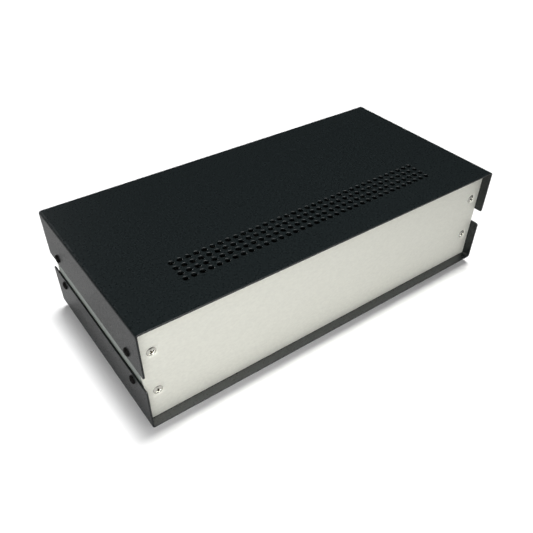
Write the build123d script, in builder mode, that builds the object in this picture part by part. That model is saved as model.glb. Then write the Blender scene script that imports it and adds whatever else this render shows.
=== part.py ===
from build123d import *
import os

# Desktop instrument case, in millimetres. Two black steel covers, each folded
# to a U, close over two bare side rails. The rails also carry a flat aluminium
# panel at the front and another at the rear, both set back behind the covers.
# The front faces -Y, +X is to its right, and z = 0 is the surface it stands on.

# Case, without its feet and screw heads
case_width = 303.0
case_depth = 148.0
case_height = 82.0

# Covers
cover_sheet = 1.2
cover_bend = 0.8            # inside radius
top_flange = 36.0           # outside height of the top cover's sides
bottom_flange = 34.0
flange_corner = 1.5

# Vents in the top cover
vent_dia = 4.0
vent_pitch = 6.0
vent_columns = 36
vent_rows = 4
vent_setback = 26.7         # front edge to the first row's centres

# Panels
panel_recess = 6.4
panel_sheet = 2.0
panel_gap = 0.3             # to the covers, all round
panel_corner = 0.5

# Side rails
rail_sheet = 1.5
rail_bend = 1.0             # inside radius
rail_reach = 18.0           # how far the folded ends reach inwards
rail_gap = 0.8              # to the covers, above and below
rail_corner = 3.0

# Panel screws: raised countersunk heads
panel_thread = 3.5
panel_head = 7.0
panel_dome = 0.9
panel_screw_length = 8.0
panel_screw_inset = 8.6     # centres to the panel's ends
panel_screw_drop = 22.5     # centres to its long edges
panel_hole_gap = 0.1        # round the shank
head_gap = 0.15             # round the head, so its rim lies this far down

# Cover screws: domed heads
cover_thread = 3.0
cover_head = 6.0
cover_dome = 1.7            # height of the whole head
cover_rim = 0.4             # straight rim under the dome
cover_screw_length = 6.0
cover_screw_setback = 19.5  # centres to the covers' front and rear edges
top_screw_margin = 7.0      # centres to the top cover's free edges
bottom_screw_margin = 5.6   # centres to the bottom cover's free edges
cover_hole_gap = 0.2

# Cross recesses
recess_span = 0.52          # share of the head's diameter
recess_slot = 0.15
recess_taper = 12.0
panel_recess_depth = 1.5
cover_recess_depth = 1.0

# Press nuts, held in the rails
nut_shank_wall = 0.6
nut_collar_wall = 1.7
nut_collar = 1.5
nut_shank = 1.0
thread_gap = 0.05

# Feet, with a screw, washer and nut each
foot_dia = 15.0
foot_top_dia = 13.0
foot_height = 6.0
foot_edge = 0.6             # chamfer of the rim that it stands on
foot_inset_x = 24.0
foot_inset_y = 20.0
foot_web = 2.0              # rubber left above the screw head
foot_thread = 3.0
foot_screw_head = 5.6
foot_screw_rim = 0.8
foot_screw_dome = 1.8
foot_screw_length = 8.0
foot_pocket_gap = 0.7
foot_hole_gap = 0.2
washer_dia = 7.0
washer_sheet = 0.5
hex_nut_width = 5.5
hex_nut_height = 2.4
screw_tip = 0.4             # chamfer at the end of every screw

# Places that follow from the sizes above
base = foot_height
top = base + case_height
middle = base + case_height / 2
front = case_depth / 2
side = case_width / 2
wall = side - cover_sheet
panel_face = front - panel_recess
rail_end = panel_face - panel_sheet
panel_width = 2 * (wall - panel_gap)
panel_height = case_height - 2 * (cover_sheet + panel_gap)
rail_height = case_height - 2 * (cover_sheet + rail_gap)
panel_screw_span = panel_width - 2 * panel_screw_inset
panel_screw_rise = panel_height - 2 * panel_screw_drop
cover_screw_span = case_depth - 2 * cover_screw_setback
top_screw_level = top - top_flange + top_screw_margin
bottom_screw_level = base + bottom_flange - bottom_screw_margin
foot_span_x = case_width - 2 * foot_inset_x
foot_span_y = case_depth - 2 * foot_inset_y

# Workplanes that face outwards from the case
front_plane = Plane(origin=(0, -panel_face, middle), x_dir=(1, 0, 0), z_dir=(0, -1, 0))
rear_plane = Plane(origin=(0, panel_face, middle), x_dir=(-1, 0, 0), z_dir=(0, 1, 0))
left_plane = Plane(origin=(-side, 0, 0), x_dir=(0, -1, 0), z_dir=(-1, 0, 0))
right_plane = Plane(origin=(side, 0, 0), x_dir=(0, 1, 0), z_dir=(1, 0, 0))
foot_plane = Plane(origin=(0, 0, base), x_dir=(1, 0, 0), z_dir=(0, 0, -1))


def folded_cover(level, flange, screw_level):
    """Sheet folded to a U: its web lies at a level, its flanges reach towards the middle."""
    inward = 1 if level < middle else -1
    with BuildPart() as cover:
        with BuildSketch(Plane.XZ) as section:
            with BuildLine() as outside:
                FilletPolyline(
                    (-side, level + inward * flange),
                    (-side, level),
                    (side, level),
                    (side, level + inward * flange),
                    radius=cover_bend + cover_sheet,
                )
                offset(amount=cover_sheet, side=Side.LEFT if inward > 0 else Side.RIGHT)
            make_face()
        extrude(amount=front, both=True)
        ends = cover.edges().filter_by(Axis.X).filter_by(lambda edge: edge.length < 2 * cover_sheet)
        fillet(ends, radius=flange_corner)
        with BuildSketch(Plane.YZ) as screw_holes:
            with Locations((0, screw_level)):
                with GridLocations(cover_screw_span, 0, 2, 1):
                    Circle(cover_thread / 2 + cover_hole_gap)
        extrude(amount=side, both=True, mode=Mode.SUBTRACT)
    return cover.part


# Top cover, with its field of vents
top_fold = folded_cover(top, top_flange, top_screw_level)
with BuildPart() as top_cover:
    add(top_fold)
    with BuildSketch(Plane.XY.offset(top)) as vents:
        with Locations((0, -front + vent_setback)):
            with GridLocations(vent_pitch, vent_pitch, vent_columns, vent_rows,
                               align=(Align.CENTER, Align.MIN)):
                Circle(vent_dia / 2)
    extrude(amount=-cover_sheet, mode=Mode.SUBTRACT)

# Bottom cover, with the holes for its feet
bottom_fold = folded_cover(base, bottom_flange, bottom_screw_level)
with BuildPart() as bottom_cover:
    add(bottom_fold)
    with BuildSketch(foot_plane) as foot_holes:
        with GridLocations(foot_span_x, foot_span_y, 2, 2):
            Circle(foot_thread / 2 + foot_hole_gap)
    extrude(amount=-cover_sheet, mode=Mode.SUBTRACT)


def blank_panel(plane):
    """Flat panel with countersunk corner holes, its outer face on the plane."""
    with BuildPart() as panel:
        with BuildSketch(plane) as outline:
            RectangleRounded(panel_width, panel_height, panel_corner)
        extrude(amount=-panel_sheet)
        with Locations(plane):
            with GridLocations(panel_screw_span, panel_screw_rise, 2, 2):
                CounterSinkHole(
                    radius=panel_thread / 2 + panel_hole_gap,
                    counter_sink_radius=panel_head / 2 + head_gap,
                    counter_sink_angle=90,
                )
    return panel


front_panel = blank_panel(front_plane)
rear_panel = blank_panel(rear_plane)


def shank_hole(thread):
    """Radius of the sheet hole that a press nut's shank fills."""
    return thread / 2 + thread_gap + nut_shank_wall


def side_rail(hand):
    """C-shaped folded rail against one side of the covers; hand is -1 for left, 1 for right."""
    outer = hand * wall
    inner = hand * (wall - rail_reach)
    with BuildPart() as rail:
        with BuildSketch(Plane.XY.offset(middle)) as section:
            with BuildLine() as outside:
                FilletPolyline(
                    (inner, -rail_end),
                    (outer, -rail_end),
                    (outer, rail_end),
                    (inner, rail_end),
                    radius=rail_bend + rail_sheet,
                )
                offset(amount=rail_sheet, side=Side.LEFT if hand > 0 else Side.RIGHT)
            make_face()
        extrude(amount=rail_height / 2, both=True)
        corners = rail.edges().filter_by(Axis.Y).filter_by(lambda edge: edge.length < 2 * rail_sheet)
        fillet(corners, radius=rail_corner)
        with BuildSketch(Plane.XZ) as panel_nut_holes:
            with Locations((0, middle)):
                with GridLocations(panel_screw_span, panel_screw_rise, 2, 2):
                    Circle(shank_hole(panel_thread))
        extrude(amount=front, both=True, mode=Mode.SUBTRACT)
        with BuildSketch(Plane.YZ) as cover_nut_holes:
            with Locations((0, top_screw_level), (0, bottom_screw_level)):
                with GridLocations(cover_screw_span, 0, 2, 1):
                    Circle(shank_hole(cover_thread))
        extrude(amount=side, both=True, mode=Mode.SUBTRACT)
    return rail


left_side_rail = side_rail(-1)
right_side_rail = side_rail(1)


def cross_recess(level, head, depth):
    """Tapered cross, cut down from a level into a screw's head of this diameter."""
    with BuildPart() as recess:
        with BuildSketch(Plane.XY.offset(level)) as cross:
            Rectangle(recess_span * head, recess_slot * head)
            Rectangle(recess_slot * head, recess_span * head)
        extrude(amount=-depth, taper=recess_taper)
    return recess.part


# Panel screw, standing on +Z with its rim at z = 0
panel_recess_cross = cross_recess(panel_dome, panel_head, panel_recess_depth)
with BuildPart() as panel_screw:
    with BuildSketch(Plane.XZ) as profile:
        with BuildLine() as outline:
            neck = (panel_head - panel_thread) / 2
            TangentArc((0, panel_dome), (panel_head / 2, 0), tangent=(1, 0))
            Polyline(
                (panel_head / 2, 0),
                (panel_thread / 2, -neck),
                (panel_thread / 2, -panel_screw_length + screw_tip),
                (panel_thread / 2 - screw_tip, -panel_screw_length),
                (0, -panel_screw_length),
                (0, panel_dome),
            )
        make_face()
    revolve(axis=Axis.Z)
    add(panel_recess_cross, mode=Mode.SUBTRACT)


def domed_screw(thread, head, rim, dome, length):
    """Domed screw, standing on +Z with the underside of its head at z = 0."""
    cross = cross_recess(dome, head, cover_recess_depth)
    with BuildPart() as screw:
        with BuildSketch(Plane.XZ) as profile:
            with BuildLine() as outline:
                TangentArc((0, dome), (head / 2, rim), tangent=(1, 0))
                Polyline(
                    (head / 2, rim),
                    (head / 2, 0),
                    (thread / 2, 0),
                    (thread / 2, -length + screw_tip),
                    (thread / 2 - screw_tip, -length),
                    (0, -length),
                    (0, dome),
                )
            make_face()
        revolve(axis=Axis.Z)
        add(cross, mode=Mode.SUBTRACT)
    return screw.part


cover_screw = domed_screw(cover_thread, cover_head, cover_rim, cover_dome, cover_screw_length)
foot_screw = domed_screw(
    foot_thread, foot_screw_head, foot_screw_rim, foot_screw_dome, foot_screw_length
)


def press_nut(thread):
    """Round press nut: the sheet's face is at z = 0, its collar below, its shank above."""
    with BuildPart() as nut:
        with BuildSketch(Plane.XY) as collar:
            Circle(thread / 2 + nut_collar_wall)
        extrude(amount=-nut_collar)
        with BuildSketch(Plane.XY) as shank:
            Circle(shank_hole(thread))
        extrude(amount=nut_shank)
        Hole(thread / 2 + thread_gap)
    return nut.part


panel_nut = press_nut(panel_thread)
cover_nut = press_nut(cover_thread)

# Screws in the panels, with their rims just under the panels' faces
with BuildPart() as front_panel_screws:
    with Locations(front_plane.offset(-head_gap)):
        with GridLocations(panel_screw_span, panel_screw_rise, 2, 2):
            add(panel_screw.part)

with BuildPart() as rear_panel_screws:
    with Locations(rear_plane.offset(-head_gap)):
        with GridLocations(panel_screw_span, panel_screw_rise, 2, 2):
            add(panel_screw.part)

# Screws in the sides, two on each side through each cover
with BuildPart() as top_cover_screws:
    with Locations(left_plane, right_plane):
        with Locations((0, top_screw_level)):
            with GridLocations(cover_screw_span, 0, 2, 1):
                add(cover_screw)

with BuildPart() as bottom_cover_screws:
    with Locations(left_plane, right_plane):
        with Locations((0, bottom_screw_level)):
            with GridLocations(cover_screw_span, 0, 2, 1):
                add(cover_screw)

# Press nuts on the inner faces of the rails
panel_nut_depth = panel_sheet + rail_sheet
with BuildPart() as front_panel_nuts:
    with Locations(front_plane.offset(-panel_nut_depth)):
        with GridLocations(panel_screw_span, panel_screw_rise, 2, 2):
            add(panel_nut)

with BuildPart() as rear_panel_nuts:
    with Locations(rear_plane.offset(-panel_nut_depth)):
        with GridLocations(panel_screw_span, panel_screw_rise, 2, 2):
            add(panel_nut)

cover_nut_depth = cover_sheet + rail_sheet
with BuildPart() as left_rail_nuts:
    with Locations(left_plane.offset(-cover_nut_depth)):
        with Locations((0, top_screw_level), (0, bottom_screw_level)):
            with GridLocations(cover_screw_span, 0, 2, 1):
                add(cover_nut)

with BuildPart() as right_rail_nuts:
    with Locations(right_plane.offset(-cover_nut_depth)):
        with Locations((0, top_screw_level), (0, bottom_screw_level)):
            with GridLocations(cover_screw_span, 0, 2, 1):
                add(cover_nut)

# One foot, its top face at z = 0 on the foot plane, which faces down
with BuildPart() as foot:
    with BuildSketch(Plane.XZ) as profile:
        with BuildLine() as outline:
            Polyline(
                (foot_thread / 2 + foot_hole_gap, 0),
                (foot_dia / 2, 0),
                (foot_top_dia / 2, foot_height),
                (foot_screw_head / 2 + foot_pocket_gap, foot_height),
                (foot_screw_head / 2 + foot_pocket_gap, foot_web),
                (foot_thread / 2 + foot_hole_gap, foot_web),
                close=True,
            )
        make_face()
    revolve(axis=Axis.Z)
    rims = foot.edges().filter_by(GeomType.CIRCLE).group_by(Axis.Z)[-1]
    chamfer(rims.sort_by(SortBy.RADIUS)[-1], length=foot_edge)

foot_places = {
    "foot_front_left": (-foot_span_x / 2, foot_span_y / 2),
    "foot_front_right": (foot_span_x / 2, foot_span_y / 2),
    "foot_rear_left": (-foot_span_x / 2, -foot_span_y / 2),
    "foot_rear_right": (foot_span_x / 2, -foot_span_y / 2),
}
feet = {}
for name, place in foot_places.items():
    with BuildPart() as one_foot:
        with Locations(foot_plane):
            with Locations(place):
                add(foot.part)
    feet[name] = one_foot

with BuildPart() as foot_screws:
    with Locations(foot_plane.offset(foot_web)):
        with GridLocations(foot_span_x, foot_span_y, 2, 2):
            add(foot_screw)

# Washers and nuts lie on the bottom cover's inner face
with BuildPart() as foot_washers:
    with BuildSketch(foot_plane.offset(-cover_sheet)) as rings:
        with GridLocations(foot_span_x, foot_span_y, 2, 2):
            Circle(washer_dia / 2)
            Circle(foot_thread / 2 + foot_hole_gap, mode=Mode.SUBTRACT)
    extrude(amount=-washer_sheet)

with BuildPart() as foot_nuts:
    with BuildSketch(foot_plane.offset(-cover_sheet - washer_sheet)) as hexagons:
        with GridLocations(foot_span_x, foot_span_y, 2, 2):
            RegularPolygon(hex_nut_width / 2, 6, major_radius=False)
            Circle(foot_thread / 2 + thread_gap, mode=Mode.SUBTRACT)
    extrude(amount=-hex_nut_height)

pieces = {
    "top_cover": top_cover,
    "bottom_cover": bottom_cover,
    "front_panel": front_panel,
    "rear_panel": rear_panel,
    "left_side_rail": left_side_rail,
    "right_side_rail": right_side_rail,
    "front_panel_screws": front_panel_screws,
    "rear_panel_screws": rear_panel_screws,
    "top_cover_screws": top_cover_screws,
    "bottom_cover_screws": bottom_cover_screws,
    "front_panel_nuts": front_panel_nuts,
    "rear_panel_nuts": rear_panel_nuts,
    "left_rail_nuts": left_rail_nuts,
    "right_rail_nuts": right_rail_nuts,
    "foot_screws": foot_screws,
    "foot_washers": foot_washers,
    "foot_nuts": foot_nuts,
    **feet,
}

os.makedirs("parts", exist_ok=True)
for name, piece in pieces.items():
    piece.part.label = name
    export_step(piece.part, f"parts/{name}.step")
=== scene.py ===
from math import radians

import bpy
import numpy as np
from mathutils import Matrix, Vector


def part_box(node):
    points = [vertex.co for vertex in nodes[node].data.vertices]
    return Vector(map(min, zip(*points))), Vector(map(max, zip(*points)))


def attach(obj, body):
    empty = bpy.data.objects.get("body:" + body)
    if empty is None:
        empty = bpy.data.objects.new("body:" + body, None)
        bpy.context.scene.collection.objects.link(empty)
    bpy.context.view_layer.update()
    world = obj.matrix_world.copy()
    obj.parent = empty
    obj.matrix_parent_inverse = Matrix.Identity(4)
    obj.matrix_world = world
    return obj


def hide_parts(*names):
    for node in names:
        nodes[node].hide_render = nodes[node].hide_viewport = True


# A desktop instrument case: two black folded steel covers close over bare side
# rails, which also carry a satin aluminium panel at the front and at the rear.
# All lengths are in metres, in the part's own frame: the front faces -Y, z up.

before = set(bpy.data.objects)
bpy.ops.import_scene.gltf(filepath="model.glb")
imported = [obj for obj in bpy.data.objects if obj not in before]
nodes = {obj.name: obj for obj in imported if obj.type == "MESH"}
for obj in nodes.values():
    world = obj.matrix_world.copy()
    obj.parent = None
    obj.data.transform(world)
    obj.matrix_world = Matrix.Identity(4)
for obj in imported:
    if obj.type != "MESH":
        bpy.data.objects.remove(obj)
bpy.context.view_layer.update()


# Side rails and their press nuts
# Each rail is a strip of zinc-plated steel folded to a C, with round press nuts
# in its web and its folded ends. Its web shows as a bright line between the covers.

MM = 0.001
RAIL_GRAIN = (2500, 60, 2500)   # streaks to a metre along each axis
RAIL_SCRATCH = 0.01 * MM
ZINC_SHADES = ((0.42, 0.47, 0.43), (0.54, 0.58, 0.54))
ZINC_ROUGHNESS = (0.38, 0.50)
NUT_GRAIN = (1200, 1200, 1200)
NUT_SHADES = ((0.50, 0.50, 0.46), (0.66, 0.66, 0.62))
NUT_ROUGHNESS = (0.22, 0.40)


def fill_inputs(tree, node, inputs):
    """Give each named input of a shader node a value, or a link from a socket."""
    for name, value in inputs.items():
        socket = node.inputs[name.replace("_", " ")]
        if isinstance(value, bpy.types.NodeSocket):
            tree.links.new(value, socket)
        else:
            socket.default_value = value


def add_node(tree, kind, **inputs):
    """Place one shader node and fill its inputs."""
    node = tree.nodes.new(kind)
    fill_inputs(tree, node, inputs)
    return node


def use_group(tree, group, **inputs):
    """Place a shader group and fill its inputs."""
    node = tree.nodes.new("ShaderNodeGroup")
    node.node_tree = group
    fill_inputs(tree, node, inputs)
    return node


def start_material(name):
    """An empty material with a Principled shader wired to its output."""
    material = bpy.data.materials.new(name)
    material.use_nodes = True
    tree = material.node_tree
    tree.nodes.clear()
    shader = tree.nodes.new("ShaderNodeBsdfPrincipled")
    output = tree.nodes.new("ShaderNodeOutputMaterial")
    tree.links.new(shader.outputs["BSDF"], output.inputs["Surface"])
    return material, tree, shader


def start_group(name, inputs, outputs):
    """An empty shader group. An input with no value takes a vector, the others a number."""
    group = bpy.data.node_groups.new(name, "ShaderNodeTree")
    for socket, value in inputs.items():
        kind = "NodeSocketVector" if value is None else "NodeSocketFloat"
        made = group.interface.new_socket(name=socket, in_out="INPUT", socket_type=kind)
        if value is not None:
            made.default_value = value
    for socket in outputs:
        group.interface.new_socket(name=socket, in_out="OUTPUT", socket_type="NodeSocketFloat")
    return group, group.nodes.new("NodeGroupInput"), group.nodes.new("NodeGroupOutput")


def place_on_object(tree, scale):
    """The object's own coordinates, times a scale along each axis."""
    place = tree.nodes.new("ShaderNodeTexCoord")
    mapping = add_node(tree, "ShaderNodeMapping", Vector=place.outputs["Object"])
    mapping.inputs["Scale"].default_value = scale
    return mapping.outputs["Vector"]


def shade_between(tree, factor, dark, light):
    """A colour that runs from one to another, each a value or a socket, as the factor goes
    from 0 to 1."""
    mix = tree.nodes.new("ShaderNodeMix")
    mix.data_type = "RGBA"
    tree.links.new(factor, mix.inputs["Factor"])
    for end, colour in (("A", dark), ("B", light)):
        if isinstance(colour, bpy.types.NodeSocket):
            tree.links.new(colour, mix.inputs[end])
        else:
            mix.inputs[end].default_value = (*colour, 1.0)
    return mix.outputs["Result"]


def spread(tree, factor, low, high):
    """A number that runs from low to high as the factor goes from 0 to 1."""
    node = add_node(tree, "ShaderNodeMapRange", Value=factor)
    node.inputs["To Min"].default_value = low
    node.inputs["To Max"].default_value = high
    return node.outputs["Result"]


def paint(tree, shader, factor, dark, light):
    """Let the shader's colour run from dark to light as the factor goes from 0 to 1."""
    tree.links.new(shade_between(tree, factor, dark, light), shader.inputs["Base Color"])


def dull(tree, shader, factor, low, high):
    """Let the shader's roughness run from low to high as the factor goes from 0 to 1."""
    tree.links.new(spread(tree, factor, low, high), shader.inputs["Roughness"])


def raise_bumps(tree, shader, height, depth):
    """Tilt the shader's normal by a height map of this depth, in metres."""
    bump = add_node(tree, "ShaderNodeBump", Height=height, Strength=1.0, Distance=depth)
    tree.links.new(bump.outputs["Normal"], shader.inputs["Normal"])


def make_metal_grain():
    """Rolled or brushed metal: fine streaks, and slow clouds, both noise from 0 to 1."""
    group, given, result = start_group(
        "metal_grain", {"Place": None, "Cloud Scale": 0.02}, ["Streaks", "Clouds"])
    streaks = add_node(group, "ShaderNodeTexNoise", Vector=given.outputs["Place"],
                       Scale=1.0, Detail=4.0, Roughness=0.7)
    clouds = add_node(group, "ShaderNodeTexNoise", Vector=given.outputs["Place"],
                      Scale=given.outputs["Cloud Scale"], Detail=3.0, Roughness=0.6)
    group.links.new(streaks.outputs["Fac"], result.inputs["Streaks"])
    group.links.new(clouds.outputs["Fac"], result.inputs["Clouds"])
    return group


def give(node_names, material):
    """Give CAD nodes a finish in place of their plain one."""
    for name in node_names:
        slots = nodes[name].data.materials
        slots.clear()
        slots.append(material)


metal_grain = make_metal_grain()

zinc_plate, tree, shader = start_material("zinc_plate")
grain = use_group(tree, metal_grain, Place=place_on_object(tree, RAIL_GRAIN), Cloud_Scale=0.03)
paint(tree, shader, grain.outputs["Clouds"], *ZINC_SHADES)
dull(tree, shader, grain.outputs["Streaks"], *ZINC_ROUGHNESS)
shader.inputs["Metallic"].default_value = 1.0
raise_bumps(tree, shader, grain.outputs["Streaks"], RAIL_SCRATCH)
give(["left_side_rail", "right_side_rail"], zinc_plate)

nut_plate, tree, shader = start_material("nut_plate")
grain = use_group(tree, metal_grain, Place=place_on_object(tree, NUT_GRAIN), Cloud_Scale=0.3)
paint(tree, shader, grain.outputs["Clouds"], *NUT_SHADES)
dull(tree, shader, grain.outputs["Streaks"], *NUT_ROUGHNESS)
shader.inputs["Metallic"].default_value = 1.0
give(["front_panel_nuts", "rear_panel_nuts", "left_rail_nuts", "right_rail_nuts",
      "foot_washers", "foot_nuts"], nut_plate)


# Bottom cover
# One piece of 1.2 mm steel sheet, folded to a shallow U, drilled for its screws and
# feet, and powder-coated black all over, so that its edges are a little round.

COVER_SHEET = 1.2 * MM
COVER_BEND = 2.0 * MM           # outside radius of the folds
COVER_CORNER = 1.5 * MM         # free corners of the sides
COAT_ROUNDING = 0.25 * MM       # how round the coat leaves the edges
COVER_HOLE = 1.7 * MM           # radius of the holes for the screws and the feet
COVER_DRILLING = ((COVER_HOLE, 0.0), (COVER_HOLE, COVER_SHEET))  # (radius, depth) pairs
COVER_SCREW_HEAD = 3.0 * MM     # radius
FOOT_SCREW_HEAD = 2.8 * MM      # radius
HOLE_SURROUND = 3.0 * MM        # half of the square that a hole is cut in
HOLE_SIDES = 16
SHADING_GUARD = 0.4 * MM        # flat borders that keep the bends' shading to themselves
ARC_POINTS = 7                  # points on a quarter circle of a fold or a corner
EDGE_TURNS = (30.0, 60.0, 90.0)  # degrees round an edge, one to a ring of points
SHARP_EDGE = 50.0               # degrees, past which an edge isn't shaded smooth
COAT_GRAIN = 750.0              # grains to a metre
COAT_BUMP = 0.03 * MM
COAT_SHADES = ((0.001, 0.0025, 0.003), (0.010, 0.0135, 0.014))
COAT_ROUGHNESS = (0.20, 0.40)
COAT_INDEX = 1.48               # how strongly it refracts, and so how much it mirrors


def strip_faces(loop, next_loop):
    """Quads between two closed loops of point numbers."""
    return np.stack([loop, next_loop, np.roll(next_loop, -1, axis=-1), np.roll(loop, -1, axis=-1)],
                    axis=-1).reshape(-1, 4)


def rim_of(table):
    """The border of a two-way table, once round, starting along its first column."""
    return np.concatenate([table[:, 0], table[-1, 1:], table[-2::-1, -1], table[0, -2:0:-1]])


class Sheet:
    """A sheet with rounded corners and edges, flat or folded to a U. Its three axes point
    along it, across it and into it. A point is given by its distance along the outer face
    from the middle, its distance across and its depth. Past the web it goes round an arc,
    whose angle is the distance past the web over the arc's radius, and then straight on."""

    def __init__(self, middle, axes, half_length, half_depth, thickness, corner, rounding,
                 bend=0.0, flange=0.0):
        self.middle = np.asarray(middle)
        self.axes = np.asarray(axes, dtype=float)
        self.half_depth = half_depth
        self.thickness = thickness
        self.corner = corner
        self.rounding = rounding
        self.bend = bend
        self.web = half_length - bend
        self.side = self.web + bend * np.pi / 2
        self.reach = self.side + max(flange - bend, 0.0)

    def place(self, along, across, depth):
        """Points in space."""
        out = np.abs(along)
        angle = np.clip((out - self.web) / max(self.bend, 1e-9), 0.0, np.pi / 2)
        flat = np.sign(along) * (np.minimum(out, self.web) + (self.bend - depth) * np.sin(angle))
        fall = self.bend - (self.bend - depth) * np.cos(angle) + np.maximum(out - self.side, 0.0)
        return self.middle + np.stack([flat, across, fall], axis=-1) @ self.axes

    def table(self, columns, rows, inset):
        """Distances along and across for the whole sheet, drawn in by an inset. Columns and rows
        are lines inside it. A corner's arc has the sine of its angle along, the cosine across."""
        turn = np.linspace(0.0, np.pi / 2, ARC_POINTS)
        radius = self.corner - inset
        straight = [columns]
        if self.bend:
            fold = self.web + self.bend * turn
            straight += [fold, fold[:1] - SHADING_GUARD, fold[-1:] + SHADING_GUARD]
        straight = np.sort(np.concatenate(straight))
        arc = self.reach - self.corner + radius * np.sin(turn)
        half = np.concatenate([straight, arc])
        deep = np.concatenate([np.full(straight.size, self.half_depth - inset),
                               self.half_depth - self.corner + radius * np.cos(turn)])
        along = np.concatenate([-half[::-1], half[1:]])
        deep = np.concatenate([deep[::-1], deep[1:]])
        guard = 1.0 - SHADING_GUARD / self.half_depth
        share = np.concatenate([[-1.0, -guard], rows / (self.half_depth - inset), [guard, 1.0]])
        across = deep[:, None] * share[None, :]
        return np.broadcast_to(along[:, None], across.shape), across

    def solid(self, columns, rows, holes):
        """Points and lists of faces of the closed sheet. The outer and inner faces are tables
        of points, joined round the rim by rings on a quarter circle at each edge. Holes come
        as centres, (radius, depth) pairs down their wall and a number of sides, and their
        rings start towards the first corner of their square, at 225 degrees."""
        columns, rows = np.asarray(columns), np.asarray(rows)
        along, across = self.table(columns, rows, self.rounding)
        outer, inner = (self.place(along, across, depth) for depth in (0.0, self.thickness))
        points = [outer.reshape(-1, 3), inner.reshape(-1, 3)]
        number = np.arange(along.size).reshape(along.shape)
        steps = [(self.rounding * (1 - np.sin(a)), self.rounding * (1 - np.cos(a)))
                 for a in np.radians(EDGE_TURNS)]
        steps += [(inset, self.thickness - depth) for inset, depth in steps[::-1]]
        loops, total = [rim_of(number)], 2 * along.size
        for inset, depth in steps:
            ring = rim_of(self.place(*self.table(columns, rows, inset), depth))
            points.append(ring)
            loops.append(total + np.arange(len(ring)))
            total += len(ring)
        loops.append(rim_of(number) + along.size)
        faces = [strip_faces(*pair) for pair in zip(loops, loops[1:])]
        cells = np.stack([number[:-1, :-1], number[1:, :-1], number[1:, 1:], number[:-1, 1:]], axis=-1)
        whole = np.ones(cells.shape[:2], dtype=bool)
        middle_row = across[along.shape[0] // 2]
        for centres, wall, sides in holes:
            centres = np.asarray(centres)
            column = np.searchsorted(along[:, 0], centres[:, 0]) - 1
            row = np.searchsorted(middle_row, centres[:, 1]) - 1
            whole[column, row] = False
            corners = cells[column, row]
            angle = np.radians(225.0) + 2 * np.pi * np.arange(sides) / sides
            rings = []
            for radius, depth in wall:
                ring = self.place(centres[:, :1] + radius * np.cos(angle),
                                  centres[:, 1:] + radius * np.sin(angle), depth)
                points.append(ring.reshape(-1, 3))
                rings.append(total + np.arange(centres.shape[0] * sides).reshape(-1, sides))
                total += centres.shape[0] * sides
            faces += [strip_faces(*pair)[:, ::-1] for pair in zip(rings, rings[1:])]
            faces.append(surround(corners, rings[0]))
            faces.append(surround(corners + along.size, rings[-1])[:, ::-1])
        kept = cells[whole]
        return np.concatenate(points), faces + [kept, kept[:, ::-1] + along.size]


def surround(corners, ring):
    """Triangles from the corners of square cells to the ring of points in each. A side of the
    square meets the ring's point that faces it, and the rest fans from its two ends."""
    quarter = ring.shape[1] // 4
    ring = np.concatenate([ring, ring[:, :1]], axis=1)
    triangles = []
    for side in range(4):
        start, end = corners[:, side], corners[:, (side + 1) % 4]
        arc = ring[:, quarter * side:quarter * (side + 1) + 1]
        triangles.append((start, end, arc[:, quarter // 2]))
        for step in range(quarter):
            fan = start if step < quarter // 2 else end
            triangles.append((fan, arc[:, step + 1], arc[:, step]))
    return np.concatenate([np.stack(corner, axis=-1) for corner in triangles])


def make_piece(name, points, faces, material):
    """A new smooth mesh on the root body, with its steep edges sharp."""
    mesh = bpy.data.meshes.new(name)
    mesh.from_pydata(points.tolist(), [], [face for group in faces for face in group.tolist()])
    mesh.polygons.foreach_set("use_smooth", np.ones(len(mesh.polygons), dtype=bool))
    mesh.set_sharp_from_angle(angle=radians(SHARP_EDGE))
    mesh.materials.append(material)
    piece = bpy.data.objects.new(name, mesh)
    bpy.context.scene.collection.objects.link(piece)
    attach(piece, "root")
    return piece


def stand_for(node):
    """Hide a CAD node, so that the piece made in its place shows instead."""
    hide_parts(node)


def screw_centres(node, across, inset):
    """The centres of the four screws of a node, from its box on two axes, less a radius."""
    low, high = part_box(node)
    first, second = across
    return [(a, b) for a in (low[first] + inset, high[first] - inset)
            for b in (low[second] + inset, high[second] - inset)]


def hole_rows(distance, half_square, between=(0.0,)):
    """Rows of a sheet: the borders of the squares round its holes, which are at plus and minus
    a distance, and the lines between them."""
    return np.sort([-distance - half_square, half_square - distance, *between,
                    distance - half_square, distance + half_square])


def make_cover(name, level, axes, flange, columns, rows, screws, holes):
    """A cover with its outer face at a level. Screws is the node of the screws in its sides."""
    low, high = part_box(name)
    cover = Sheet((0.0, 0.0, level), axes, high[0], high[1], COVER_SHEET, COVER_CORNER,
                  COAT_ROUNDING, bend=COVER_BEND, flange=flange)
    screw_low, screw_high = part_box(screws)
    along = cover.side + abs((screw_low[2] + screw_high[2]) / 2 - level) - COVER_BEND
    across = screw_high[1] - COVER_SCREW_HEAD
    side_holes = [(sx * along, sy * across) for sx in (-1, 1) for sy in (-1, 1)]
    columns = np.concatenate([columns, [along - HOLE_SURROUND, along + HOLE_SURROUND]])
    points, faces = cover.solid(columns, rows, holes + [(side_holes, COVER_DRILLING, HOLE_SIDES)])
    piece = make_piece(name + "_sheet", points, faces, powder_coat)
    stand_for(name)


def make_coat_texture():
    """Powder coat and the like: small round bumps and a slow drift, both noise from 0 to 1."""
    group, given, result = start_group(
        "coat_texture", {"Place": None, "Grain Scale": 1500.0}, ["Height", "Drift"])
    bumps = add_node(group, "ShaderNodeTexNoise", Vector=given.outputs["Place"],
                     Scale=given.outputs["Grain Scale"], Detail=2.0, Roughness=0.5)
    drift = add_node(group, "ShaderNodeTexNoise", Vector=given.outputs["Place"],
                     Scale=18.0, Detail=4.0, Roughness=0.6)
    group.links.new(bumps.outputs["Fac"], result.inputs["Height"])
    group.links.new(drift.outputs["Fac"], result.inputs["Drift"])
    return group


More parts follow.
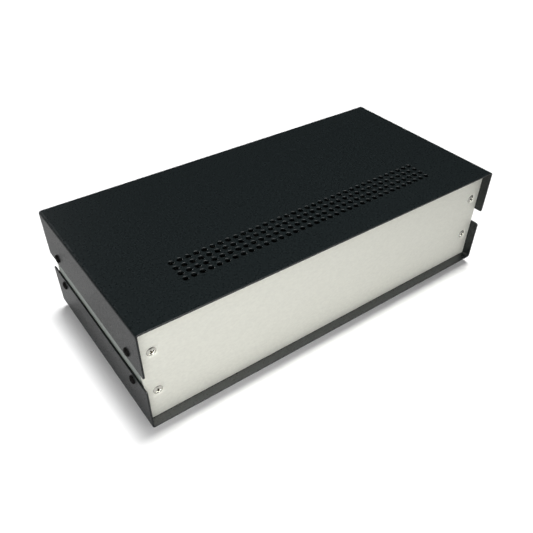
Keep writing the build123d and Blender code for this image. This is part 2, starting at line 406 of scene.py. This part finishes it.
coat_texture = make_coat_texture()

powder_coat, tree, shader = start_material("powder_coat")
coat = use_group(tree, coat_texture, Place=place_on_object(tree, (1, 1, 1)), Grain_Scale=COAT_GRAIN)
paint(tree, shader, coat.outputs["Height"], *COAT_SHADES)
dull(tree, shader, coat.outputs["Height"], *COAT_ROUGHNESS)
shader.inputs["IOR"].default_value = COAT_INDEX
raise_bumps(tree, shader, coat.outputs["Height"], COAT_BUMP)

# The holes for the screws in the sides lie in the same rows of squares as the feet's,
# half a millimetre from their middles.
low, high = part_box("foot_screws")
foot_x = high[0] - FOOT_SCREW_HEAD
foot_y = high[1] - FOOT_SCREW_HEAD
foot_holes = [(sx * foot_x, sy * foot_y) for sx in (-1, 1) for sy in (-1, 1)]
low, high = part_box("bottom_cover")
make_cover("bottom_cover", low[2], [(-1, 0, 0), (0, 1, 0), (0, 0, 1)], high[2] - low[2],
           [0.0, foot_x - HOLE_SURROUND, foot_x + HOLE_SURROUND], hole_rows(foot_y, HOLE_SURROUND),
           "bottom_cover_screws", [(foot_holes, COVER_DRILLING, HOLE_SIDES)])


# Feet
# Four moulded rubber feet stand under the bottom cover. Each has a deep pocket
# for the screw that holds it, and soft edges from its mould.

FOOT_TOP_RADIUS = 7.5 * MM
FOOT_FLOOR_RADIUS = 6.5 * MM
FOOT_POCKET_RADIUS = 3.5 * MM
FOOT_WEB = 2.0 * MM             # the rubber left over the pocket
FOOT_SOFTNESS = (0.1, 0.3, 0.9, 0.4, 0.4, 0.1)  # millimetres, from the hole round the outline
FOOT_SIDES = 48
RUBBER_GRAIN = 900.0            # grains to a metre
RUBBER_SHADES = ((0.014, 0.014, 0.014), (0.026, 0.025, 0.024))
RUBBER_ROUGHNESS = (0.62, 0.80)


def soften(corners, reach, steps=5):
    """A closed outline with rounded corners. Each corner C becomes a curve between two points
    a reach away from it, A (1 - u)^2 + 2 C u (1 - u) + B u^2, as u goes from 0 to 1."""
    corners, reach = np.asarray(corners), np.asarray(reach)[:, None]
    before, after = np.roll(corners, 1, axis=0) - corners, np.roll(corners, -1, axis=0) - corners
    start = corners + before * reach / np.linalg.norm(before, axis=1)[:, None]
    end = corners + after * reach / np.linalg.norm(after, axis=1)[:, None]
    u = np.linspace(0.0, 1.0, steps)[None, :, None]
    curve = start[:, None] * (1 - u) ** 2 + corners[:, None] * 2 * u * (1 - u) + end[:, None] * u ** 2
    return curve.reshape(-1, 2)


foot_rubber, tree, shader = start_material("foot_rubber")
coat = use_group(tree, coat_texture, Place=place_on_object(tree, (1, 1, 1)), Grain_Scale=RUBBER_GRAIN)
paint(tree, shader, coat.outputs["Drift"], *RUBBER_SHADES)
dull(tree, shader, coat.outputs["Height"], *RUBBER_ROUGHNESS)
raise_bumps(tree, shader, coat.outputs["Height"], COAT_BUMP)

for node in ("foot_front_left", "foot_front_right", "foot_rear_left", "foot_rear_right"):
    low, high = np.array(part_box(node))
    height = high[2] - low[2]
    outline = soften(
        [(COVER_HOLE, height), (FOOT_TOP_RADIUS, height),
         (FOOT_FLOOR_RADIUS, 0.0), (FOOT_POCKET_RADIUS, 0.0),
         (FOOT_POCKET_RADIUS, height - FOOT_WEB), (COVER_HOLE, height - FOOT_WEB)],
        np.array(FOOT_SOFTNESS) * MM)
    angle = np.linspace(0.0, 2 * np.pi, FOOT_SIDES, endpoint=False)
    points = np.stack([outline[:, :1] * np.cos(angle), outline[:, :1] * np.sin(angle),
                       np.broadcast_to(outline[:, 1:], (len(outline), FOOT_SIDES))], axis=-1)
    points += np.array([*(low + high)[:2] / 2, low[2]])
    number = np.arange(len(outline) * FOOT_SIDES).reshape(len(outline), FOOT_SIDES)
    foot = make_piece(node + "_moulding", points.reshape(-1, 3),
                      [strip_faces(number, np.roll(number, -1, axis=0))], foot_rubber)
    stand_for(node)


# Foot screws
# Domed cross-head screws, zinc-plated, go up through the feet into nuts on the
# cover's inner face.

FOOT_SCREW_RIM = 0.6 * MM       # upright edge of the head
FOOT_SCREW_DOME = 1.75 * MM     # height of the whole head
FOOT_SCREW_FULLNESS = 2.3
FOOT_SCREW_CROSS = (1.45 * MM, 0.42 * MM)  # reach and half width of its arms
FOOT_SCREW_RECESS = 1.0 * MM
FOOT_SCREW_LENGTH = 8.0 * MM
M3_THREAD = 1.5 * MM            # half of the thread's width
M3_PITCH = 0.5 * MM
THREAD_DEPTH = 0.3              # share of the pitch
THREAD_STEPS = 4                # rings of points to a turn
THREAD_START = 0.3 * MM         # plain shank under a head
SCREW_TIP = 0.4 * MM
RECESS_LIP = 0.05 * MM          # broken edge of the cross
CROSS_FLOOR = (0.25, 0.7)       # its span and slot at its floor, as shares of those at its mouth
CROSS_WAIST = (0.8, 0.8)        # and half way down
CROSS_RINGS = 2                 # rings of points at its floor and waist
CROSS_POINT = 0.1               # how far its middle falls below its floor, a share of its depth
DOME_SHARES = (0.0, 0.3, 0.55, 0.75, 0.9, 1.0)  # rings from the cross to the head's rim


def cross_outline(angles, span, slot):
    """Distance from the centre to the edge of a cross. A ray near an arm's middle leaves by
    the arm's end, span / cos, and any other by the arm's flank, slot / sin."""
    off_arm = (angles + np.pi / 4) % (np.pi / 2) - np.pi / 4
    return np.minimum(span / np.cos(off_arm), slot / np.maximum(np.abs(np.sin(off_arm)), 1e-9))


def screw_surface(dome, cross, recess, shoulder, thread, pitch, length):
    """Rings of points from the bottom of a screw's cross to its tip, with the head's seat at
    height 0. Dome gives the head's height for a distance from the axis, cross is the (span,
    slot) of its recess, and shoulder lists the (radius, height) pairs from the head's rim to
    the thread. The thread's radius is r - d |2 p - 1|, where d is its depth and p is the
    fraction that is left of height / pitch - angle / turn."""
    span, slot = cross
    tip = np.arctan(slot / span)
    flank = np.linspace(tip, np.pi / 4, 4)[:-1]
    arm = np.concatenate([[-np.pi / 4], -flank[::-1], [-tip / 2, 0.0, tip / 2], flank])
    angles = (arm + np.pi / 2 * np.arange(4)[:, None]).ravel()
    floor = dome(0.0) - recess
    rings = [(cross_outline(angles, span * CROSS_FLOOR[0], slot * CROSS_FLOOR[1]), floor),
             (cross_outline(angles, span * CROSS_WAIST[0], slot * CROSS_WAIST[1]), floor + recess / 2)]
    mouth = cross_outline(angles, span, slot)
    rings.append((mouth, dome(mouth) - RECESS_LIP))
    edge = cross_outline(angles, span + RECESS_LIP, slot + RECESS_LIP)
    for share in DOME_SHARES:
        radius = edge + (shoulder[0][0] - edge) * share
        rings.append((radius, dome(radius)))
    rings += shoulder
    for height in np.arange(shoulder[-1][1] - THREAD_START, SCREW_TIP - length, -pitch / THREAD_STEPS):
        phase = (height / pitch - angles / (2 * np.pi)) % 1.0
        rings.append((thread - THREAD_DEPTH * pitch * np.abs(2 * phase - 1), height))
    rings.append((thread - SCREW_TIP, -length))
    rings = [[0.0, floor - CROSS_POINT * recess]] + rings + [[0.0, -length]]
    radius = np.array([ring[0] + 0.0 * angles for ring in rings])
    height = np.array([ring[1] + 0.0 * angles for ring in rings])
    return np.stack([radius * np.cos(angles), radius * np.sin(angles), height], axis=-1)


def set_screws(name, surface, out, seats, turns, material):
    """One mesh of like screws that stand on their seats. Out is the way that their heads face,
    and each has its own turn, in degrees. The first and last rings become single points."""
    rows, columns = surface.shape[:2]
    number = np.arange(rows * columns).reshape(rows, columns) - columns + 1
    number[0], number[-1] = 0, number[-2, -1] + 1
    local = np.concatenate([surface[:1, 0], surface[1:-1].reshape(-1, 3), surface[-1:, 0]])
    strips = strip_faces(number[:-1], number[1:])
    first, last = strips[:columns], strips[-columns:]
    faces = [first[:, 1:], strips[columns:-columns], last[:, [0, 1, 3]]]
    out = np.asarray(out, dtype=float)
    right = np.roll(np.abs(out), 1)
    points, all_faces = [], []
    for seat, turn in zip(seats, np.radians(turns)):
        across = np.cos(turn) * right + np.sin(turn) * np.cross(out, right)
        axes = np.stack([across, np.cross(out, across), out])
        all_faces += [part + len(local) * len(points) for part in faces]
        points.append(local @ axes + np.asarray(seat))
    return make_piece(name, np.concatenate(points), all_faces, material)


def pan_dome(radius, rim, height, fullness):
    """The height of a domed head over its seat: full in the middle and steep at the rim, where
    the fullness is the power that both shares are raised to."""
    def height_at(distance):
        share = np.clip(np.asarray(distance) / radius, 0.0, 1.0)
        return rim + (height - rim) * (1.0 - share ** fullness) ** (1.0 / fullness)
    return height_at


low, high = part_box("foot_screws")
seat = high[2] - FOOT_SCREW_LENGTH
surface = screw_surface(
    pan_dome(FOOT_SCREW_HEAD, FOOT_SCREW_RIM, FOOT_SCREW_DOME, FOOT_SCREW_FULLNESS),
    FOOT_SCREW_CROSS, FOOT_SCREW_RECESS, [(FOOT_SCREW_HEAD, 0.0), (M3_THREAD, 0.0)],
    M3_THREAD, M3_PITCH, FOOT_SCREW_LENGTH)
seats = [(x, y, seat) for x, y in screw_centres("foot_screws", (0, 1), FOOT_SCREW_HEAD)]
foot_screws = set_screws("foot_screws_zinc", surface, (0, 0, -1), seats, (12, 57, 33, 81), nut_plate)
stand_for("foot_screws")


# Panels
# The front and rear panels are 2 mm aluminium plate, brushed lengthways, countersunk
# for their screws and clear-anodised to a warm satin silver.

PANEL_SHEET = 2.0 * MM
PANEL_CORNER = 0.5 * MM
PANEL_ROUNDING = 0.15 * MM
PANEL_COUNTERSINK = 3.75 * MM   # radius at the face
PANEL_HOLE = 1.85 * MM
PANEL_SCREW_BOX = 3.5 * MM      # radius of the head that the panel screws' node has
PANEL_SURROUND = 5.0 * MM       # half of the square that a hole is cut in
PANEL_HOLE_SIDES = 32
PANEL_GRAIN = (900, 1500, 1500)
PANEL_SCRATCH = 0.006 * MM
PANEL_SHADES = ((0.83, 0.83, 0.76), (0.98, 0.98, 0.90))
PANEL_ROUGHNESS = (0.56, 0.70)
PANEL_METAL = 0.7               # the rest shows as a plain surface

satin_aluminium, tree, shader = start_material("satin_aluminium")
grain = use_group(tree, metal_grain, Place=place_on_object(tree, PANEL_GRAIN), Cloud_Scale=0.45)
paint(tree, shader, grain.outputs["Clouds"], *PANEL_SHADES)
dull(tree, shader, grain.outputs["Streaks"], *PANEL_ROUGHNESS)
shader.inputs["Metallic"].default_value = PANEL_METAL
raise_bumps(tree, shader, grain.outputs["Streaks"], PANEL_SCRATCH)

for node, out in (("front_panel", -1), ("rear_panel", 1)):
    low, high = np.array(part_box(node))
    middle = (low + high) / 2
    face = high[1] if out > 0 else low[1]
    half = (high - low) / 2
    centres = np.array(screw_centres(node + "_screws", (0, 2), PANEL_SCREW_BOX)) - middle[[0, 2]]
    column, row = centres.max(axis=0)
    panel = Sheet((middle[0], face, middle[2]), [(-out, 0, 0), (0, 0, 1), (0, -out, 0)],
                  half[0], half[2], PANEL_SHEET, PANEL_CORNER, PANEL_ROUNDING)
    wall = ((PANEL_COUNTERSINK, 0.0), (PANEL_HOLE, PANEL_COUNTERSINK - PANEL_HOLE),
            (PANEL_HOLE, PANEL_SHEET))
    points, faces = panel.solid([0.0, column - PANEL_SURROUND, column + PANEL_SURROUND],
                                hole_rows(row, PANEL_SURROUND), [(centres, wall, PANEL_HOLE_SIDES)])
    plate = make_piece(node + "_plate", points, faces, satin_aluminium)
    stand_for(node)


# Panel screws
# Raised countersunk cross-head screws, nickel-plated, hold each panel to the
# rails. Their heads seat in the countersinks with their rims under the face, and
# shade is painted dark into their crosses and round their rims.

PANEL_SCREW_HEAD = 3.35 * MM    # radius
PANEL_SCREW_RIM = 0.2 * MM      # upright edge of the head
PANEL_SCREW_DOME = 0.88 * MM
PANEL_SCREW_CROSS = (1.8 * MM, 0.5 * MM)
PANEL_SCREW_RECESS = 1.4 * MM
PANEL_SCREW_LENGTH = 8.0 * MM
M35_THREAD = 1.75 * MM          # half of the thread's width
M35_PITCH = 0.6 * MM
NICKEL_GRAIN = (3000, 3000, 3000)
NICKEL_SHADES = ((0.74, 0.73, 0.66), (0.88, 0.87, 0.80))
NICKEL_ROUGHNESS = (0.14, 0.24)
# painted shade: the colour that the crosses and the heads' rims are darkened to
PAINTED_SHADE_COLOUR = (0.10, 0.08, 0.05)

nickel_plate, tree, shader = start_material("nickel_plate")
grain = use_group(tree, metal_grain, Place=place_on_object(tree, NICKEL_GRAIN), Cloud_Scale=0.2)
plating = shade_between(tree, grain.outputs["Clouds"], *NICKEL_SHADES)
# Painted shade: the recess value turns the nickel dark brown in the crosses and round the heads' rims.
recess = tree.nodes.new("ShaderNodeAttribute")
recess.attribute_name = "recess"
paint(tree, shader, recess.outputs["Fac"], plating, PAINTED_SHADE_COLOUR)
dull(tree, shader, grain.outputs["Clouds"], *NICKEL_ROUGHNESS)
shader.inputs["Metallic"].default_value = 1.0


def lens_dome(radius, rim, height):
    """The height of a raised countersunk head whose rim is at a level: a cap of a ball that has
    the radius (radius^2 + height^2) / (2 height)."""
    ball = (radius ** 2 + height ** 2) / (2 * height)

    def height_at(distance):
        return rim + np.sqrt(ball ** 2 - np.minimum(distance, radius) ** 2) - ball + height
    return height_at


def paint_recess_shade(screws, count, columns):
    """Give a mesh of like screws a value, recess, that paints shade on the nickel: 1 in each cross,
    which is a screw's first point and its first two rings, 1 from the rim of its head down, and 0
    on the dome between them."""
    recess = np.zeros((count, len(screws.data.vertices) // count))
    recess[:, :1 + CROSS_RINGS * columns] = 1.0
    recess[:, 1 + (CROSS_RINGS + len(DOME_SHARES)) * columns:] = 1.0
    value = screws.data.attributes.new("recess", "FLOAT", "POINT")
    value.data.foreach_set("value", recess.ravel())


seated = PANEL_SCREW_HEAD - PANEL_COUNTERSINK
surface = screw_surface(
    lens_dome(PANEL_SCREW_HEAD, seated + PANEL_SCREW_RIM, PANEL_SCREW_DOME),
    PANEL_SCREW_CROSS, PANEL_SCREW_RECESS,
    [(PANEL_SCREW_HEAD, seated), (M35_THREAD, M35_THREAD - PANEL_COUNTERSINK)],
    M35_THREAD, M35_PITCH, PANEL_SCREW_LENGTH)
for node, out, turns in (("front_panel_screws", -1, (8, 27, 14, 52)),
                         ("rear_panel_screws", 1, (71, 15, 38, 84))):
    low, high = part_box(node)
    rim = high[1] - PANEL_SCREW_LENGTH if out < 0 else low[1] + PANEL_SCREW_LENGTH
    seats = [(x, rim, z) for x, z in screw_centres(node, (0, 2), PANEL_SCREW_BOX)]
    screws = set_screws(node + "_nickel", surface, (0, out, 0), seats, turns, nickel_plate)
    paint_recess_shade(screws, len(seats), surface.shape[1])
    stand_for(node)


# Top cover
# A deeper U of the same coated sheet. Four rows of round vents are punched near
# its front edge, and the coat is drawn over their rims.

VENT_RADIUS = 2.0 * MM
VENT_PITCH = 6.0 * MM
VENT_COLUMNS = 36
VENT_ROWS = 4
VENT_SETBACK = 26.7 * MM        # from the front edge to the first row's centres
VENT_RIM = 0.24 * MM            # how far the coat rounds a rim
# The wall of a vent as (radius, depth) pairs: flat at first, then rounded into the sheet.
VENT_WALL = ((VENT_RADIUS + 2.0 * VENT_RIM, 0.0), (VENT_RADIUS + VENT_RIM, 0.0),
             (VENT_RADIUS + 0.3 * VENT_RIM, 0.3 * VENT_RIM), (VENT_RADIUS, VENT_RIM),
             (VENT_RADIUS, COVER_SHEET))
VENT_SIDES = 16

low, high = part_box("top_cover")
vent_lines = low[1] + VENT_SETBACK + VENT_PITCH * (np.arange(VENT_ROWS + 1) - 0.5)
vents = [(VENT_PITCH * (column + 0.5 - VENT_COLUMNS / 2), low[1] + VENT_SETBACK + VENT_PITCH * row)
         for column in range(VENT_COLUMNS) for row in range(VENT_ROWS)]
screw_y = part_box("top_cover_screws")[1][1] - COVER_SCREW_HEAD
rows = hole_rows(screw_y, HOLE_SURROUND, between=(*vent_lines, 0.0))
make_cover("top_cover", high[2], [(1, 0, 0), (0, 1, 0), (0, 0, -1)], high[2] - low[2],
           VENT_PITCH * np.arange(VENT_COLUMNS // 2 + 1), rows, "top_cover_screws",
           [(vents, VENT_WALL, VENT_SIDES)])


# Cover screws
# Domed cross-head screws hold the covers to the rails, two through each side of
# each cover. They are blackened steel.

COVER_SCREW_RIM = 0.45 * MM     # upright edge of the head
COVER_SCREW_DOME = 1.65 * MM    # height of the whole head
COVER_SCREW_FULLNESS = 2.4
COVER_SCREW_CROSS = (1.5 * MM, 0.42 * MM)
COVER_SCREW_RECESS = 1.0 * MM
COVER_SCREW_LENGTH = 6.0 * MM
OXIDE_GRAIN = 2500.0            # grains to a metre
OXIDE_SHADES = ((0.006, 0.006, 0.006), (0.011, 0.010, 0.009))
OXIDE_ROUGHNESS = (0.45, 0.60)
OXIDE_INDEX = 1.12

black_oxide, tree, shader = start_material("black_oxide")
coat = use_group(tree, coat_texture, Place=place_on_object(tree, (1, 1, 1)), Grain_Scale=OXIDE_GRAIN)
paint(tree, shader, coat.outputs["Drift"], *OXIDE_SHADES)
dull(tree, shader, coat.outputs["Height"], *OXIDE_ROUGHNESS)
shader.inputs["IOR"].default_value = OXIDE_INDEX

surface = screw_surface(
    pan_dome(COVER_SCREW_HEAD, COVER_SCREW_RIM, COVER_SCREW_DOME, COVER_SCREW_FULLNESS),
    COVER_SCREW_CROSS, COVER_SCREW_RECESS, [(COVER_SCREW_HEAD, 0.0), (M3_THREAD, 0.0)],
    M3_THREAD, M3_PITCH, COVER_SCREW_LENGTH)
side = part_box("top_cover")[1][0]
for node, turns in (("top_cover_screws", (31, 76, 9, 52)), ("bottom_cover_screws", (64, 18, 43, 87))):
    low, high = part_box(node)
    height = (low[2] + high[2]) / 2
    rows = (low[1] + COVER_SCREW_HEAD, high[1] - COVER_SCREW_HEAD)
    for out, two_turns in ((-1, turns[:2]), (1, turns[2:])):
        seats = [(out * side, y, height) for y in rows]
        screws = set_screws(f"{node}_{'left' if out < 0 else 'right'}", surface, (out, 0, 0), seats,
                            two_turns, black_oxide)
        stand_for(node)


# Floor, lights and camera
# A plain floor and room, white to the camera but for the case's shadow. Reflections
# see a grey floor and a room that is dark behind, lighter in front and bright in a
# patch of its ceiling. Four softboxes light the case.

FLOOR_REACH = 4.0
FLOOR_BOUNCE = 0.37             # how pale the floor is to the light that it throws back
FLOOR_SEEN = 0.97               # how pale it is to the camera
FLOOR_FILL = 0.01               # light added to it where the camera sees it
FLOOR_FADE = (0.35, 1.3)        # distances over which it fades to white for the camera
FLOOR_SHINE = 0.03              # light added to it where shiny surfaces see it
ROOM_WHITE = 1.0                # the room as the camera sees it
ROOM_LIGHT = 0.02               # the light that the room itself gives
# The rest are ways and levels of the room as shiny surfaces see it.
ROOM_REAR = 0.02
FRONT_WAY = (-0.60, -0.80, 0.0)
FRONT_FADE = (-0.1, 0.6)        # cosines to that way, over which the front fades in
FRONT_RISE = (0.2, 0.6)         # heights of a way, over which it grows lighter
FRONT_HORIZON = 0.1
FRONT_ABOVE = 0.5
GLOW_WAY = (0.321, 0.557, 0.766)
GLOW_FADE = (0.80, 1.0)
REAR_GLOW = 0.05                # a faint glow high up behind
CEILING_WAY = (0.10, -0.36, 0.928)
CEILING_FADE = (0.72, 0.92)
CEILING_GLOW = 4.5


def ray_is(tree, kinds):
    """1 for a ray of any of these kinds, else 0."""
    path = tree.nodes.new("ShaderNodeLightPath")
    total = path.outputs[kinds[0]]
    for kind in kinds[1:]:
        either = tree.nodes.new("ShaderNodeMath")
        either.operation = "MAXIMUM"
        tree.links.new(total, either.inputs[0])
        tree.links.new(path.outputs[kind], either.inputs[1])
        total = either.outputs["Value"]
    return total


def fade(tree, value, start, end):
    """A smooth step from 0 to 1 as the value goes from start to end."""
    node = add_node(tree, "ShaderNodeMapRange", Value=value)
    node.interpolation_type = "SMOOTHSTEP"
    node.inputs["From Min"].default_value = start
    node.inputs["From Max"].default_value = end
    return node.outputs["Result"]


def blend(tree, factor, first, second):
    """A number that goes from the first to the second as the factor goes from 0 to 1."""
    mix = tree.nodes.new("ShaderNodeMix")
    fill_inputs(tree, mix, {"Factor": factor, "A": first, "B": second})
    return mix.outputs["Result"]


def cosine_to(tree, way, target):
    """The cosine of the angle between two ways of length 1."""
    node = tree.nodes.new("ShaderNodeVectorMath")
    node.operation = "DOT_PRODUCT"
    tree.links.new(way, node.inputs[0])
    node.inputs[1].default_value = target
    return node.outputs["Value"]


floor_mesh = bpy.data.meshes.new("floor")
floor_mesh.from_pydata([(x * FLOOR_REACH, y * FLOOR_REACH, 0.0)
                        for x, y in ((-1, -1), (1, -1), (1, 1), (-1, 1))], [], [(0, 1, 2, 3)])
floor = bpy.data.objects.new("floor", floor_mesh)
bpy.context.scene.collection.objects.link(floor)
pale_floor = bpy.data.materials.new("pale_floor")
pale_floor.use_nodes = True
tree = pale_floor.node_tree
tree.nodes.clear()
pale = blend(tree, ray_is(tree, ["Is Camera Ray"]), FLOOR_BOUNCE, FLOOR_SEEN)
matte = add_node(tree, "ShaderNodeBsdfDiffuse", Color=pale)
fill = blend(tree, ray_is(tree, ["Is Glossy Ray", "Is Transmission Ray"]), 0.0, FLOOR_SHINE)
spot = tree.nodes.new("ShaderNodeTexCoord")
distance = tree.nodes.new("ShaderNodeVectorMath")
distance.operation = "LENGTH"
tree.links.new(spot.outputs["Object"], distance.inputs[0])
far = blend(tree, fade(tree, distance.outputs["Value"], *FLOOR_FADE), FLOOR_FILL, ROOM_WHITE)
added = blend(tree, ray_is(tree, ["Is Camera Ray"]), fill, far)
glow = add_node(tree, "ShaderNodeEmission", Strength=added)
both = tree.nodes.new("ShaderNodeAddShader")
tree.links.new(matte.outputs["BSDF"], both.inputs[0])
tree.links.new(glow.outputs["Emission"], both.inputs[1])
output = tree.nodes.new("ShaderNodeOutputMaterial")
tree.links.new(both.outputs["Shader"], output.inputs["Surface"])
floor_mesh.materials.append(pale_floor)

world = bpy.data.worlds.new("room")
bpy.context.scene.world = world
world.use_nodes = True
tree = world.node_tree
background = tree.nodes["Background"]
background.inputs["Color"].default_value = (1.0, 1.0, 1.0, 1.0)
way = tree.nodes.new("ShaderNodeTexCoord").outputs["Generated"]
split = add_node(tree, "ShaderNodeSeparateXYZ", Vector=way)
front = blend(tree, fade(tree, split.outputs["Z"], *FRONT_RISE), FRONT_HORIZON, FRONT_ABOVE)
room = blend(tree, fade(tree, cosine_to(tree, way, FRONT_WAY), *FRONT_FADE), ROOM_REAR, front)
room = blend(tree, fade(tree, cosine_to(tree, way, GLOW_WAY), *GLOW_FADE), room, REAR_GLOW)
room = blend(tree, fade(tree, cosine_to(tree, way, CEILING_WAY), *CEILING_FADE), room, CEILING_GLOW)
shine = blend(tree, ray_is(tree, ["Is Glossy Ray", "Is Transmission Ray"]), ROOM_LIGHT, room)
seen = blend(tree, ray_is(tree, ["Is Camera Ray"]), shine, ROOM_WHITE)
tree.links.new(seen, background.inputs["Strength"])


def hang_softbox(name, place, target, size, power):
    """Hang a square area lamp that faces a target and is hidden from the camera, and return it."""
    lamp_data = bpy.data.lights.new(name, "AREA")
    lamp_data.size = size
    lamp_data.energy = power
    lamp = bpy.data.objects.new(name, lamp_data)
    bpy.context.scene.collection.objects.link(lamp)
    lamp.location = place
    lamp.visible_camera = False
    aim = Vector(target) - Vector(place)
    lamp.rotation_euler = aim.to_track_quat("-Z", "Y").to_euler()
    return lamp


OVERHEAD_PLACE = (0.40, 0.24, 4.0)
OVERHEAD_TARGET = (0.0, 0.0, 0.0)
OVERHEAD_SIZE = 0.90
OVERHEAD_POWER = 165.0
FRONT_PLACE = (-0.40, -0.53, 0.37)
FRONT_TARGET = (-0.05, -0.07, 0.05)
FRONT_SIZE = 0.34
FRONT_POWER = 2.2
NEAR_PLACE = (-0.06, -0.32, 0.26)
NEAR_TARGET = (-0.03, -0.07, 0.05)
NEAR_SIZE = 0.22
NEAR_POWER = 0.25
REAR_PLACE = (-0.25, 1.5, 0.25)
REAR_TARGET = (0.0, 0.07, 0.05)
REAR_SIZE = 0.50
REAR_POWER = 7.0

# The overhead lamp lights the case but doesn't show in reflections.
overhead = hang_softbox("overhead_softbox", OVERHEAD_PLACE, OVERHEAD_TARGET,
                        OVERHEAD_SIZE, OVERHEAD_POWER)
overhead.visible_glossy = False
hang_softbox("front_softbox", FRONT_PLACE, FRONT_TARGET, FRONT_SIZE, FRONT_POWER)
hang_softbox("camera_softbox", NEAR_PLACE, NEAR_TARGET, NEAR_SIZE, NEAR_POWER)
hang_softbox("rear_softbox", REAR_PLACE, REAR_TARGET, REAR_SIZE, REAR_POWER)

# The camera stands where the photograph was taken from: in front, to the left
# and above, tilted down and turned to the right.
CAMERA_PLACE = (-0.22524, -0.29479, 0.31544)
CAMERA_TILT = 49.482
CAMERA_ROLL = -0.852
CAMERA_HEADING = -36.532
CAMERA_LENS = 39.740            # millimetres, as is the sensor's width
CAMERA_SENSOR = 36.0
CAMERA_SHIFT = (-0.01742, 0.03258)
CAMERA_NEAREST = 0.01           # nearest thing that it sees

camera_data = bpy.data.cameras.new("camera")
camera_data.sensor_width = CAMERA_SENSOR
camera_data.lens = CAMERA_LENS
camera_data.shift_x, camera_data.shift_y = CAMERA_SHIFT
camera_data.clip_start = CAMERA_NEAREST
camera = bpy.data.objects.new("camera", camera_data)
bpy.context.scene.collection.objects.link(camera)
camera.location = CAMERA_PLACE
camera.rotation_euler = [radians(a) for a in (CAMERA_TILT, CAMERA_ROLL, CAMERA_HEADING)]
bpy.context.scene.camera = camera
bpy.context.scene.view_settings.view_transform = "Standard"
